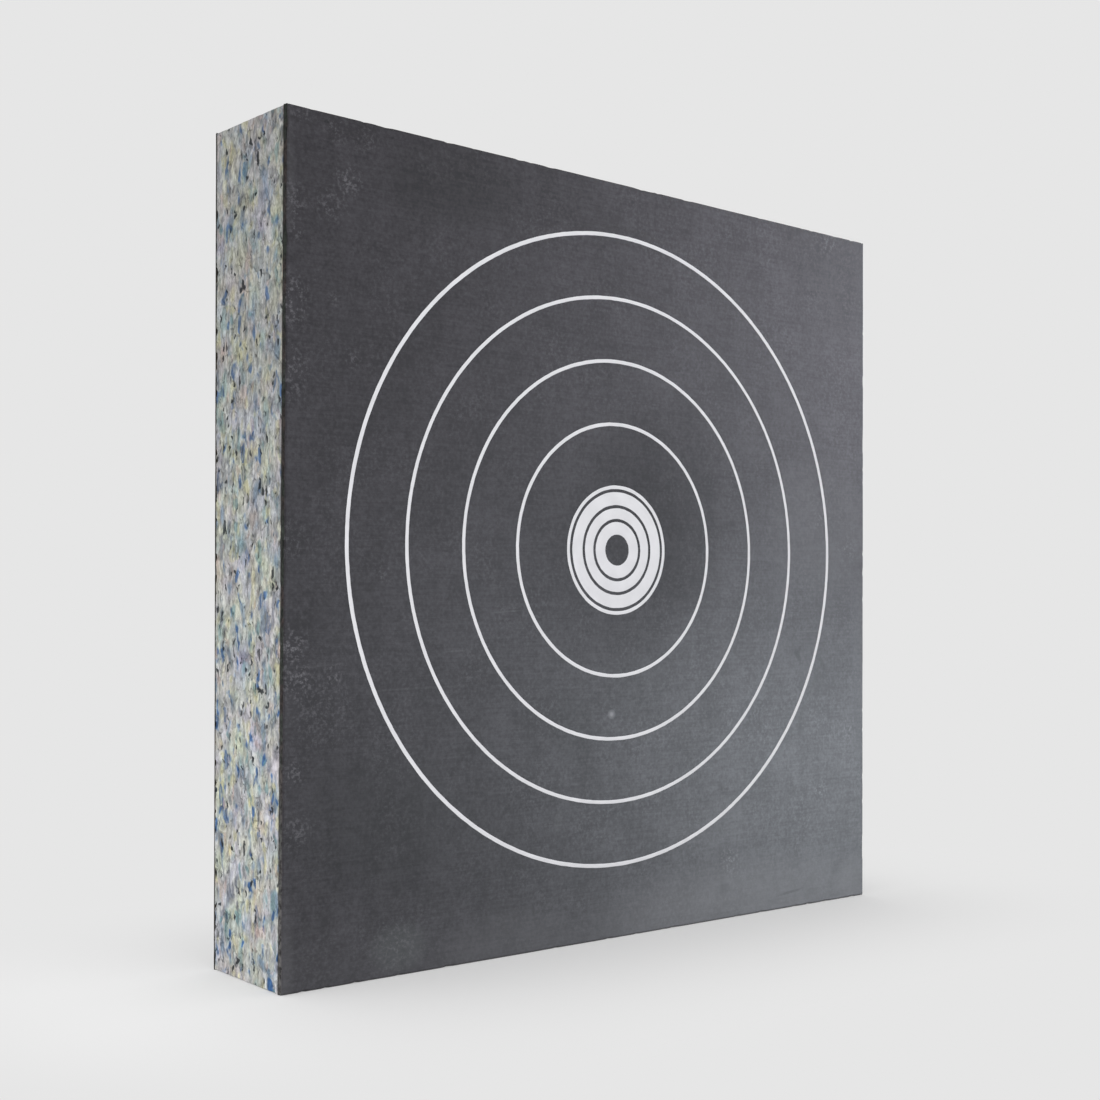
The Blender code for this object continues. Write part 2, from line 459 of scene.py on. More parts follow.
# Ink: the even noises of its clouds, tiny holes and grain, its two colours and its holes' colour
INK_CLOUD_NOISE = (60.0, 3.0)
INK_HOLE_NOISE = (1700.0, 1.0)
INK_GRAIN_NOISE = (2200.0, 2.0, 0.6)
INK_CLOUDS = (0.3, 0.7)
INK_COLOURS = ((221, 221, 225), (228, 228, 232))
INK_HOLE_COLOUR = (120, 120, 124)
INK_HOLES = (0.74, 0.78, 0.0, 0.5)
INK_BUMP = (0.05 * MM, 0.4)
INK_ROUGHNESS = 0.9
INK_GLOSS = 0.05

# Glue: the noise of its clouds, its two colours and how its roughness goes with them
GLUE_NOISE = (120.0, 3.0)
GLUE_CLOUDS = (0.35, 0.65)
GLUE_COLOURS = ((40, 38, 34), (64, 60, 52))
GLUE_ROUGHNESS = (0.3, 0.7, 0.5, 0.7)
GLUE_GLOSS = 0.2


# Nodes


# A Mix node's sockets for colours: share, first colour and second colour, and the result
MIX_INPUTS = (0, 6, 7)
MIX_RESULT = 2


class Graph:
    """Adds nodes to one tree, each fed by values or by other nodes' outputs."""

    def __init__(self, tree):
        self.tree = tree

    def feed(self, socket, value):
        """Links another node's output to a socket, or sets the socket's own value."""
        if isinstance(value, bpy.types.NodeSocket):
            self.tree.links.new(value, socket)
        else:
            socket.default_value = value

    def add(self, kind, feeds=None, **settings):
        made = self.tree.nodes.new(kind)
        for name, value in settings.items():
            setattr(made, name, value)
        for key, value in (feeds or {}).items():
            self.feed(made.inputs[key], value)
        return made

    def maths(self, operation, first, second=0.0, clamp=False):
        feeds = {0: first, 1: second}
        return self.add("ShaderNodeMath", feeds, operation=operation, use_clamp=clamp).outputs[0]

    def product(self, *values):
        result = values[0]
        for value in values[1:]:
            result = self.maths("MULTIPLY", result, value)
        return result

    def total(self, *values):
        result = values[0]
        for value in values[1:]:
            result = self.maths("ADD", result, value)
        return result

    def without(self, value, share):
        """1 where value is 0, less by a share of it elsewhere."""
        return self.maths("SUBTRACT", 1.0, self.product(value, share))

    def vector(self, operation, first, second, result="Vector"):
        feeds = {0: first, 1: second}
        return self.add("ShaderNodeVectorMath", feeds, operation=operation).outputs[result]

    def dot(self, first, second):
        return self.vector("DOT_PRODUCT", first, second, "Value")

    def distance(self, first, second):
        return self.vector("DISTANCE", first, second, "Value")

    def own_place(self):
        """The place that is shaded, in its object's own frame."""
        return self.add("ShaderNodeTexCoord").outputs["Object"]

    def split(self, three):
        """The three numbers of a colour or a place."""
        return tuple(self.add("ShaderNodeSeparateXYZ", {0: three}).outputs)

    def joined(self, x, y, z):
        return self.add("ShaderNodeCombineXYZ", {0: x, 1: y, 2: z}).outputs[0]

    def ease(self, value, start, end, low=0.0, high=1.0):
        """Goes smoothly from low to high as value goes from start to end."""
        feeds = {"Value": value, "From Min": start, "From Max": end, "To Min": low, "To Max": high}
        made = self.add("ShaderNodeMapRange", feeds, interpolation_type="SMOOTHSTEP")
        return made.outputs["Result"]

    def noise(self, place, repeats, detail=2.0, roughness=0.5, colour=False):
        """Smooth noise about 0.5, as a value or a colour, with that many repeats in a metre."""
        feeds = {"Vector": place, "Scale": repeats, "Detail": detail, "Roughness": roughness}
        return self.add("ShaderNodeTexNoise", feeds).outputs[1 if colour else 0]

    def counted(self, place, size):
        """A place counted in grains of a size."""
        x, y, z = size
        return self.vector("MULTIPLY", place, (1 / x, 1 / y, 1 / z))

    def stretched(self, place, size, detail=2.0, roughness=0.5, colour=False):
        """Smooth noise, as a value or a colour, with grains of a size."""
        return self.noise(self.counted(place, size), 1.0, detail, roughness, colour)

    def wander(self, place, repeats, roughness, reach):
        """Smooth random shifts, as far as reach from end to end along each axis."""
        random = self.noise(place, repeats, 2.0, roughness, colour=True)
        return self.vector("MULTIPLY", self.vector("SUBTRACT", random, (0.5, 0.5, 0.5)), reach)

    def cells(self, place, feature="F1"):
        return self.add("ShaderNodeTexVoronoi", {"Vector": place, "Scale": 1.0}, feature=feature)

    def soft_cells(self, place):
        """Random numbers for each cell, which run softly into the next cell's."""
        feeds = {"Vector": place, "Scale": 1.0, "Smoothness": FLAKE_SOFTNESS}
        return self.add("ShaderNodeTexVoronoi", feeds, feature="SMOOTH_F1").outputs["Color"]

    def blend(self, share, first, second, kind="MIX"):
        """Two colours mixed by a share."""
        made = self.add("ShaderNodeMix", data_type="RGBA", blend_type=kind)
        for number, value in zip(MIX_INPUTS, (share, first, second)):
            self.feed(made.inputs[number], (*value, 1.0) if isinstance(value, tuple) else value)
        return made.outputs[MIX_RESULT]

    def shaded(self, colour, shade):
        """A colour times a number."""
        return self.blend(1.0, colour, self.joined(shade, shade, shade), "MULTIPLY")

    def ramp(self, value, stops, interpolation):
        made = self.add("ShaderNodeValToRGB", {0: value})
        made.color_ramp.interpolation = interpolation
        stops_made = made.color_ramp.elements
        while len(stops_made) < len(stops):
            stops_made.new(1.0)
        for stop, (place, colour) in zip(stops_made, stops):
            stop.position = place
            stop.color = (*colour, 1.0)
        return made.outputs[0]

    def bump(self, height, distance, strength):
        feeds = {"Height": height, "Distance": distance, "Strength": strength}
        return self.add("ShaderNodeBump", feeds).outputs[0]


def new_material(name):
    material = bpy.data.materials.new(name)
    material.use_nodes = True
    return material, Graph(material.node_tree)


def set_surface(graph, colour, roughness, gloss, normal=None):
    shader = graph.tree.nodes["Principled BSDF"]
    feeds = {"Base Color": colour, "Roughness": roughness, "Specular IOR Level": gloss}
    if normal is not None:
        feeds["Normal"] = normal
    for name, value in feeds.items():
        graph.feed(shader.inputs[name], value)
    return shader


def linear(red, green, blue):
    """A colour as seen in a picture, 0 to 255, as the light it stands for."""
    shares = []
    for value in (red, green, blue):
        share = value / 255
        shares.append(share / 12.92 if share <= 0.04045 else ((share + 0.055) / 1.055) ** 2.4)
    return tuple(shares)


# The foam's flakes, for its relief and its colours


def foam_fields(graph, place):
    """What lies at a place in the foam: its flake and chip, fibres, open creases and pits."""
    bent = graph.vector("ADD", place, graph.wander(place, *FLAKE_BEND))
    frayed = graph.vector("ADD", bent, graph.wander(place, *FLAKE_FRAY))
    flake_place = graph.counted(frayed, FLAKE_SIZE)
    chip_place = graph.vector("ADD", graph.counted(frayed, CHIP_SIZE), CHIP_SHIFT)
    pit_place = graph.vector("ADD", graph.counted(bent, PIT_SIZE), PIT_SHIFT)
    flake_edge = graph.cells(flake_place, "DISTANCE_TO_EDGE").outputs["Distance"]
    chip_edge = graph.cells(chip_place, "DISTANCE_TO_EDGE").outputs["Distance"]
    return {
        "bent": bent,
        "flake": graph.split(graph.soft_cells(flake_place)),
        "chip": graph.split(graph.cells(chip_place).outputs["Color"]),
        "chip_edge": chip_edge,
        "crease": graph.product(
            graph.ease(flake_edge, *CREASE_EDGE),
            graph.ease(graph.noise(place, *CREASE_NOISE), *CREASE_OPENS),
        ),
        "chip_crease": graph.product(
            graph.ease(chip_edge, *CHIP_CREASE_EDGE),
            graph.ease(graph.noise(place, *CHIP_CREASE_NOISE), *CHIP_CREASE_OPENS),
        ),
        "fibre": graph.stretched(bent, *FIBRES),
        "pit": graph.ease(graph.noise(pit_place, 1.0, detail=1.0), *PIT_OPENS),
    }


# The sawn square, read from the core's solid, which every layer's outline follows


def core_corners():
    """The core's corners at its front and at its back, anticlockwise from the bottom left."""
    places = np.array([vert.co for vert in nodes["foam_core"].data.vertices])
    middle_y = (places[:, 1].min() + places[:, 1].max()) / 2
    ends = []
    for at_end in (places[:, 1] < middle_y, places[:, 1] > middle_y):
        found = places[at_end]
        away = found - found.mean(axis=0)
        ends.append([
            found[np.argmax(away[:, 0] * right + away[:, 2] * up)]
            for right, up in ((-1, -1), (1, -1), (1, 1), (-1, 1))
        ])
    return np.array(ends)


CORE_FRONT, CORE_BACK = core_corners()
CORE_FRONT_Y = CORE_FRONT[0][1]
CORE_BACK_Y = CORE_BACK[0][1]


def on_cut(across, up, y, inset, corner_radius):
    """Places on the sawn square at depth y. across and up run from 0 to 1; inset draws it in."""
    reach = SIDE / 2 - inset
    offsets = [(2 * across - 1) * reach, (2 * up - 1) * reach]
    past = [np.abs(offset) - (reach - corner_radius) for offset in offsets]
    in_corner = (past[0] > 0) & (past[1] > 0)
    diagonal = np.maximum(np.hypot(past[0], past[1]), 1e-12)
    pull = np.where(in_corner, np.maximum(past[0], past[1]) / diagonal, 1.0)
    shares = []
    for offset, over in zip(offsets, past):
        drawn = np.where(in_corner, reach - corner_radius + over * pull, np.abs(offset))
        shares.append(0.5 + np.sign(offset) * drawn / SIDE)
    depth = (y - CORE_FRONT_Y) / (CORE_BACK_Y - CORE_FRONT_Y)
    corners = CORE_FRONT[:, (0, 2)] + (CORE_BACK - CORE_FRONT)[:, (0, 2)] * depth
    s, t = shares
    x, z = (
        (corners[0][axis] * (1 - s) + corners[1][axis] * s) * (1 - t)
        + (corners[3][axis] * (1 - s) + corners[2][axis] * s) * t
        for axis in (0, 1)
    )
    return np.stack([x, np.broadcast_to(y, x.shape), z], axis=-1)


def grid_shares(spacing):
    """Shares from 0 to 1 of the lines across the square: fine near the edges, then even."""
    near = [x / SIDE for x in EDGE_LINES]
    count = max(2, round((1 - 2 * near[-1]) * SIDE / spacing))
    even = np.linspace(near[-1], 1 - near[-1], count + 1)
    return np.concatenate([near[:-1], even, [1 - x for x in reversed(near[:-1])]])


def round_the_edge(shares):
    """The square's border, anticlockwise from the bottom left: across, up and outward."""
    zero, one = np.zeros(len(shares) - 1), np.ones(len(shares) - 1)
    rising, falling = shares[:-1], shares[:0:-1]
    across = np.concatenate([rising, one, falling, zero])
    up = np.concatenate([zero, rising, one, falling])
    sides = ((0.0, 0.0, -1.0), (1.0, 0.0, 0.0), (0.0, 0.0, 1.0), (-1.0, 0.0, 0.0))
    outward = np.repeat(sides, len(zero), axis=0)
    for corner in range(len(sides)):
        first = corner * len(zero)
        outward[first] = (outward[first] + outward[first - 1]) / math.sqrt(2)
    return across, up, outward


def border_walk(places, rng, knots):
    """A smooth random walk from -1 to 1 round a closed border, at places from 0 to 1."""
    heights = rng.uniform(-1, 1, knots)
    place = places * knots
    low = np.floor(place).astype(int)
    share = place - low
    share = share * share * (3 - 2 * share)
    return heights[low % knots] * (1 - share) + heights[(low + 1) % knots] * share


# Meshes


def make_piece(name, places, faces, material, node_name):
    mesh = bpy.data.meshes.new(name)
    mesh.from_pydata([tuple(place) for place in places], [], faces)
    mesh.validate()
    mesh.materials.append(material)
    mesh.shade_smooth()
    piece = bpy.data.objects.new(name, mesh)
    scene.collection.objects.link(piece)
    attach(piece, "root")
    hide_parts(node_name)
    return piece


def wall_faces(first, second, count):
    """Quads between two closed loops of vertices, given the first number of each."""
    return [
        (first + i, second + i, second + (i + 1) % count, first + (i + 1) % count)
        for i in range(count)
    ]


def apply_nodes(piece, group):
    """Runs a geometry node group on a piece and keeps the result as its mesh."""
    modifier = piece.modifiers.new("relief", "NODES")
    modifier.node_group = group
    evaluated = piece.evaluated_get(bpy.context.evaluated_depsgraph_get())
    shaped = bpy.data.meshes.new_from_object(evaluated)
    piece.modifiers.clear()
    old = piece.data
    name = old.name
    piece.data = shaped
    bpy.data.meshes.remove(old)
    shaped.name = name


def foam_relief_group():
    """Sinks creases, pits and low flakes, against the outward direction that each point holds."""
    group = bpy.data.node_groups.new("foam_relief", "GeometryNodeTree")
    for in_out in ("INPUT", "OUTPUT"):
        group.interface.new_socket("Geometry", in_out=in_out, socket_type="NodeSocketGeometry")
    graph = Graph(group)
    start = graph.add("NodeGroupInput").outputs[0]
    place = graph.add("GeometryNodeInputPosition").outputs[0]
    fields = foam_fields(graph, place)
    depth = graph.total(
        graph.product(fields["flake"][2], LOW_FLAKE_DEPTH),
        graph.product(fields["crease"], CREASE_DEPTH),
        graph.product(fields["chip_crease"], CHIP_CREASE_DEPTH),
        graph.product(fields["pit"], PIT_DEPTH),
        graph.product(graph.noise(place, *RELIEF_NOISE), GRAIN_DEPTH),
    )
    attribute = {"Name": "outward"}
    outward = graph.add("GeometryNodeInputNamedAttribute", attribute, data_type="FLOAT_VECTOR")
    feeds = {0: outward.outputs[0], "Scale": graph.product(depth, -1.0)}
    inward = graph.add("ShaderNodeVectorMath", feeds, operation="SCALE").outputs[0]
    moved = graph.add("GeometryNodeSetPosition", {"Geometry": start, "Offset": inward})
    graph.add("NodeGroupOutput", {0: moved.outputs[0]})
    return group


def make_foam(material):
    across, up, outward = round_the_edge(grid_shares(FOAM_SPACING))
    count = len(across)
    rows = round((CORE_BACK_Y - CORE_FRONT_Y) / FOAM_SPACING) + 1
    depths = np.linspace(CORE_FRONT_Y, CORE_BACK_Y, rows)
    places = np.concatenate([on_cut(across, up, y, 0.0, CORE_CORNER_RADIUS) for y in depths])
    last = (rows - 1) * count
    faces = [tuple(range(count)), tuple(reversed(range(last, last + count)))]
    for row in range(rows - 1):
        faces += wall_faces(row * count, (row + 1) * count, count)
    piece = make_piece("foam_flakes", places, faces, material, "foam_core")
    directions = piece.data.attributes.new("outward", "FLOAT_VECTOR", "POINT")
    directions.data.foreach_set("vector", np.tile(outward, (rows, 1)).ravel())
    apply_nodes(piece, foam_relief_group())
    piece.data.attributes.remove(piece.data.attributes["outward"])


def sheet_waves(x, z, seed, height):
    """How far a glued sheet lies under its plane, from 0 to height: long, gentle waves."""
    rng = np.random.default_rng(seed)
    total = np.zeros_like(x)
    for wavelength in WAVELENGTHS:
        turn = rng.uniform(0, math.tau)
        shift = rng.uniform(0, math.tau)
        along = x * math.cos(turn) + z * math.sin(turn)
        total = total + np.sin(along * (math.tau / wavelength) + shift) * wavelength
    return (0.5 + 0.5 * total / sum(WAVELENGTHS)) * height


def worn_border(count, nick, rng):
    """How far nicks bite into a sheet's border at each of its places, and how far it sways."""
    round_border = np.arange(count) / count
    nicks = np.zeros(count)
    for places_a_step, threshold, bite in SHEET_NICKS:
        walk = border_walk(round_border, rng, count // places_a_step)
        nicks += np.maximum(walk - threshold, 0) * bite * nick
    sway = (0.5 + 0.5 * border_walk(round_border, rng, SWAY_STEPS)) * SWAY_REACH
    return nicks, sway


def sheet_rows(thickness, arris_radius):
    """The rows down a sheet's edge: how far each lies inside the cut and under the outer face."""
    angles = [math.pi / 2 * (row + 1) / ARRIS_ROWS for row in range(ARRIS_ROWS)]
    rows = [
        (arris_radius * (1 - math.sin(angle)), arris_radius * (1 - math.cos(angle)))
        for angle in angles
    ]
    cut = thickness - arris_radius
    return rows + [(0.0, arris_radius + cut * share) for share in CUT_ROWS]


def sheet_face(shares, y, inset):
    """A sheet's outer face: its places, its faces and its border's numbers, anticlockwise."""
    lines = len(shares)
    last = lines - 1
    across, up = (grid.ravel() for grid in np.meshgrid(shares, shares, indexing="ij"))
    corners = [i * lines + j for i in range(last) for j in range(last)]
    faces = [(corner, corner + lines, corner + lines + 1, corner + 1) for corner in corners]
    steps = np.arange(last)
    border = np.concatenate([
        steps * lines,
        last * lines + steps,
        (last - steps) * lines + last,
        last - steps,
    ])
    return on_cut(across, up, y, inset, SHEET_CORNER_RADIUS), faces, border


def make_sheet(name, node_name, material, seed, faces_front, spacing, arris_radius, wave, nick):
    """A dark sheet: a waved outer face, a nicked arris, a sawn edge and a flat glued side."""
    low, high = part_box(node_name)
    outer_y, glued_y = (low.y, high.y) if faces_front else (high.y, low.y)
    inwards = 1.0 if faces_front else -1.0
    thickness = abs(glued_y - outer_y)
    shares = grid_shares(spacing)
    across, up, _ = round_the_edge(shares)
    count = len(across)
    nicks, sway = worn_border(count, nick, np.random.default_rng(seed))
    flat, faces, previous = sheet_face(shares, outer_y, arris_radius)
    flat[:, 1] += inwards * sheet_waves(flat[:, 0], flat[:, 2], seed, wave)
    places = [flat]
    next_number = len(flat)
    for inset, sunk in sheet_rows(thickness, arris_radius):
        share = 1 - sunk / thickness
        drawn_in = inset + nicks * share + sway
        ring = on_cut(across, up, outer_y + inwards * sunk, drawn_in, SHEET_CORNER_RADIUS)
        ring[:, 1] += inwards * sheet_waves(ring[:, 0], ring[:, 2], seed, wave) * share
        places.append(ring)
        current = next_number + np.arange(count)
        faces += zip(previous, current, np.roll(current, -1), np.roll(previous, -1))
        previous = current
        next_number += count
    faces.append(tuple(reversed(previous)))
    if not faces_front:
        faces = [tuple(reversed(face)) for face in faces]
    faces = [tuple(int(number) for number in face) for face in faces]
    piece = make_piece(name, np.concatenate(places), faces, material, node_name)
    # The glued side is shaded flat, so that the sheet's edge there is sharp
    piece.data.polygons[-1].use_smooth = False


def bare_edge(node_name):
    """How far each edge of a printed ring lies inside its solid's."""
    if node_name == "outer_target_circle":
        return OUTER_CIRCLE_BARE_EDGE
    return BULL_BARE_EDGE if node_name.startswith("bull_") else CIRCLE_BARE_EDGE


def make_ink(node_name, material, seed):
    """One printed ring, low and soft-edged, that follows the face sheet's waves."""
    places = np.array([vert.co for vert in nodes[node_name].data.vertices])
    low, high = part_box(node_name)
    centre = ((low.x + high.x) / 2, (low.z + high.z) / 2)
    radii = np.hypot(places[:, 0] - centre[0], places[:, 2] - centre[1])
    inner, outer = radii.min() + bare_edge(node_name), radii.max() - bare_edge(node_name)
    count = max(FEWEST_INK_STEPS, round(math.tau * outer / INK_STEP))
    round_ring = np.arange(count) / count
    angle = round_ring * math.tau
    rng = np.random.default_rng(seed)
    inner_edge = inner + border_walk(round_ring, rng, count // 2) * INK_WANDER
    outer_edge = outer + border_walk(round_ring, rng, count // 2) * INK_WANDER
    round_up, round_in = INK_ROUNDING[0] * INK_HEIGHT, INK_ROUNDING[1] * INK_SHOULDER
    section = [
        (inner_edge, -INK_FOOT),
        (inner_edge + round_in, round_up),
        (inner_edge + INK_SHOULDER, INK_HEIGHT),
        (np.full(count, (inner + outer) / 2), INK_HEIGHT),
        (outer_edge - INK_SHOULDER, INK_HEIGHT),
        (outer_edge - round_in, round_up),
        (outer_edge, -INK_FOOT),
    ]
    face_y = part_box("front_sheet")[0].y
    made = []
    faces = []
    for row, (radius, height) in enumerate(section):
        x = centre[0] + radius * np.cos(angle)
        z = centre[1] + radius * np.sin(angle)
        y = face_y + sheet_waves(x, z, FACE_SEED, FACE_WAVE) - height
        made.append(np.stack([x, y, z], axis=-1))
        faces += wall_faces(row * count, (row + 1) % len(section) * count, count)
    make_piece("ink_" + node_name, np.concatenate(made), faces, material, node_name)


# Materials


def foam_tint(graph, bent):
    """The foam's own colour, which drifts gently from place to place."""
    drift = graph.split(graph.stretched(bent, *DRIFT, colour=True))
    warm = graph.product(graph.maths("SUBTRACT", drift[0], 0.5), WARM_DRIFT)
    pink = graph.product(graph.maths("SUBTRACT", drift[1], 0.5), PINK_DRIFT)
    shares = [
        graph.total(1.0, graph.product(warm, warm_share), graph.product(pink, pink_share))
        for warm_share, pink_share in zip(WARM_SHARES, PINK_SHARES)
    ]
    return graph.blend(1.0, graph.joined(*shares), linear(*FOAM_BASE), "MULTIPLY")


def other_foams(graph, colour, fields, apart, lower):
    """The colour with patches, spots and single flakes of other foams."""
    patches = graph.split(graph.stretched(fields["bent"], *PATCHES, colour=True))
    spots = graph.split(graph.stretched(apart, *SPOTS, colour=True))
    strands = graph.ease(graph.stretched(apart, *STRANDS), *STRANDS_SHOW)
    tellers = (
        (patches, PATCH_COLOURS, lower),
        (spots, SPOT_COLOURS, lower),
        (fields["flake"], FLAKE_COLOURS, strands),
    )
    for numbers, kinds, level in tellers:
        for number, start, end, share, other_colour in kinds:
            is_other = graph.product(graph.ease(numbers[number], start, end, 0.0, share), level)
            colour = graph.blend(is_other, colour, linear(*other_colour))
    return colour


def other_chips(graph, colour, fields, lower):
    """The colour with small chips of other foams."""
    colours = []
    shares = []
    reached = 0.0
    for number, chip_colour in CHIP_COLOURS:
        colours.append((reached / 100, linear(*(chip_colour or FOAM_BASE))))
        shares.append((reached / 100, (0.0,) * 3 if chip_colour is None else (1.0,) * 3))
        reached += number
    is_chip = graph.product(
        graph.ramp(fields["chip"][0], shares, "CONSTANT"),
        graph.ease(fields["chip_edge"], 0.0, CHIP_FULL, 0.0, CHIP_STRENGTH),
        lower,
    )
    return graph.blend(is_chip, colour, graph.ramp(fields["chip"][0], colours, "CONSTANT"))


def foam_shade(graph, place, fields, apart, depth):
    """How light the foam is, from fibres and grain, with painted shade in creases, streaks and seam.
    """
    wisp = graph.stretched(fields["bent"], *WISPS)
    streak_shade = graph.ease(graph.stretched(apart, *STREAKS), *STREAK_SHOWS)
    grain = graph.stretched(place, *GRAIN)
    behind_seam = graph.maths("SUBTRACT", depth, CORE_FRONT_Y)
    # Painted shade in the seam beside the face sheet, with glue and dirt
    seam_shade = graph.product(
        graph.ease(behind_seam, 0.0, SEAM_WIDTH, SEAM_DARKENS, 0.0),
        graph.ease(graph.noise(place, *SEAM_NOISE), *SEAM_BROKEN),
    )
    return graph.product(
        graph.ease(fields["fibre"], *FIBRE_SHADES),
        graph.ease(wisp, *WISP_SHADES),
        graph.ease(grain, *GRAIN_SHADES),
        graph.ease(fields["flake"][0], *FLAKE_SHADES),
        graph.without(fields["crease"], CREASE_DARKENS),
        graph.without(fields["chip_crease"], CHIP_CREASE_DARKENS),
        graph.without(streak_shade, STREAK_DARKENS),
        graph.without(seam_shade, 1.0),
    )


def foam_material():
    """Bonded flakes of many foams, matt and open-pored."""
    material, graph = new_material("bonded_foam_flakes")
    place = graph.own_place()
    fields = foam_fields(graph, place)
    _, depth, up = graph.split(place)
    apart = graph.vector("ADD", fields["bent"], COLOUR_SHIFT)
    lower = graph.ease(up, SIDE, 0.0, OTHERS_AT_TOP, 1.0)
    colour = foam_tint(graph, fields["bent"])
    colour = other_foams(graph, colour, fields, apart, lower)
    colour = other_chips(graph, colour, fields, lower)
    colour = graph.shaded(colour, foam_shade(graph, place, fields, apart, depth))
    # Painted shade inside the pits
    pit_shade = graph.product(fields["pit"], PIT_DARKENS)
    colour = graph.blend(pit_shade, colour, linear(*PIT_SHADE_COLOUR))
    pores = graph.noise(place, *FOAM_PORES)
    heights = zip((pores, fields["fibre"], fields["crease"]), FOAM_BUMP_SHARES)
    height = graph.total(*(graph.product(field, share) for field, share in heights))
    normal = graph.bump(height, *FOAM_BUMP)
    set_surface(graph, colour, FOAM_ROUGHNESS, FOAM_GLOSS, normal)
    return material


def mark_share(graph, place, x, z, half_length, half_width, lean):
    """1 in the middle of a soft mark and 0 outside it. Its half length and width are in mm."""
    turn = math.radians(lean)
    length, width = half_length * MM, half_width * MM
    offset = graph.vector("SUBTRACT", place, (x, 0.0, z))
    along = graph.dot(offset, (math.sin(turn) / length, 0.0, math.cos(turn) / length))
    beside = graph.dot(offset, (math.cos(turn) / width, 0.0, -math.sin(turn) / width))
    squares = graph.total(graph.product(along, along), graph.product(beside, beside))
    return graph.ease(squares, 1.0, 0.0)


def sheet_cut_colour(graph, place, up):
    """The colour of a sheet's sawn edge, which is torn into dark and pale and is paler low down."""
    cloud = graph.ease(graph.noise(place, CUT_CLOUD_REPEATS), *CUT_CLOUDS)
    colour = graph.blend(cloud, linear(*CUT_GREENISH), linear(*CUT_REDDISH))
    at_foot = graph.ease(up, *CUT_FOOT_HEIGHTS, 0.0, CUT_FOOT_SHARE)
    colour = graph.blend(at_foot, colour, linear(*CUT_AT_FOOT))
    tear = graph.ease(graph.noise(place, *CUT_TEAR_NOISE), *CUT_TEARS)
    return graph.shaded(colour, tear)


def sheet_tone(graph, place, mottle):
    """How pale a sheet is, from its streaks, clouds, blotches and mottle."""
    layers = [(graph.stretched(place, *layer), share) for *layer, share in SHEET_STREAKS]
    layers += [(graph.noise(place, *layer), share) for *layer, share in SHEET_CLOUDS]
    layers.append((mottle, MOTTLE_SHARE))
    return graph.total(*(graph.product(field, share) for field, share in layers))


def sheet_material(name, outer_y, roughness, scuffs, marks, dulled):
    """Dark rolled foam sheet: streaks, clouds and grain, pale specks, marks and a sawn edge."""
    material, graph = new_material(name)
    place = graph.own_place()
    _, depth, up = graph.split(place)
    mottle = graph.noise(place, *SHEET_MOTTLE)
    tone = sheet_tone(graph, place, mottle)
    colour = graph.blend(graph.ease(tone, *SHEET_TONES), linear(*SHEET_DARK), linear(*SHEET_PALE))
    dull = graph.total(0.0, *(mark_share(graph, place, *area, 0) for area in dulled))
    # Painted shade on the dull places, for their weaker sheen
    colour = graph.shaded(colour, graph.without(dull, DULL_PAINTED_SHADE))
    # Marks, among them painted shade, painted sheen and painted reflection of the floor
    for *where, strength, mark_colour in marks:
        share = graph.product(mark_share(graph, place, *where), strength)
        colour = graph.blend(share, colour, linear(*mark_colour))
    # Painted reflection of the floor, paler towards the foot
    painted_floor_reflection = graph.ease(up, FLOOR_REFLECTION_HEIGHT, 0.0, 0.0, FLOOR_REFLECTION_SHARE)
    colour = graph.blend(painted_floor_reflection, colour, linear(*PALE_PAINTED_LIGHT))
    under_face = graph.maths("ABSOLUTE", graph.maths("SUBTRACT", depth, outer_y))
    on_edge = graph.ease(under_face, *CUT_STARTS)
    colour = graph.blend(on_edge, colour, sheet_cut_colour(graph, place, up))
    dust = graph.ease(graph.noise(place, DUST_REPEATS), *EVEN_DUST)
    for x, z, reach, thick in scuffs:
        away = graph.distance(place, (x, outer_y, z))
        dust = graph.total(dust, graph.ease(away, reach, 0.0, 0.0, thick))
    off_cut = graph.without(on_edge, SPECKS_LOST_ON_CUT)
    speck = graph.product(graph.ease(mottle, *SPECKS_SHOW), dust, SPECK_STRENGTH, off_cut)
    colour = graph.blend(speck, colour, linear(*SPECK_COLOUR))
    pores = graph.product(graph.noise(place, *SHEET_PORES), PORES_RISE)
    height = graph.total(tone, pores, graph.product(speck, SPECKS_RISE))
    rough = graph.total(
        graph.ease(tone, *SHEET_TONES, *roughness),
        graph.product(dull, DULLED_ROUGHNESS),
        graph.product(on_edge, CUT_ROUGHNESS),
    )
    set_surface(graph, colour, rough, SHEET_GLOSS, graph.bump(height, *SHEET_BUMP))
    return material


def ink_material():
    """Matt white ink with faint clouds, tiny holes and a fine grain."""
    material, graph = new_material("printed_white_ink")
    place = graph.own_place()
    cloud = graph.ease(graph.noise(place, *INK_CLOUD_NOISE), *INK_CLOUDS)
    colour = graph.blend(cloud, *(linear(*colour) for colour in INK_COLOURS))
    holes = graph.ease(graph.noise(place, *INK_HOLE_NOISE), *INK_HOLES)
    colour = graph.blend(holes, colour, linear(*INK_HOLE_COLOUR))
    grain = graph.noise(place, *INK_GRAIN_NOISE)
    normal = graph.bump(grain, *INK_BUMP)
    set_surface(graph, colour, INK_ROUGHNESS, INK_GLOSS, normal)
    return material


def glue_material():
    """Dried glue, cloudy brown and half glossy."""
    material, graph = new_material("dried_contact_glue")
    place = graph.own_place()
    cloud = graph.noise(place, *GLUE_NOISE)
    brown = graph.ease(cloud, *GLUE_CLOUDS)
    colour = graph.blend(brown, *(linear(*colour) for colour in GLUE_COLOURS))
    set_surface(graph, colour, graph.ease(cloud, *GLUE_ROUGHNESS), GLUE_GLOSS)
    return material


# The pieces


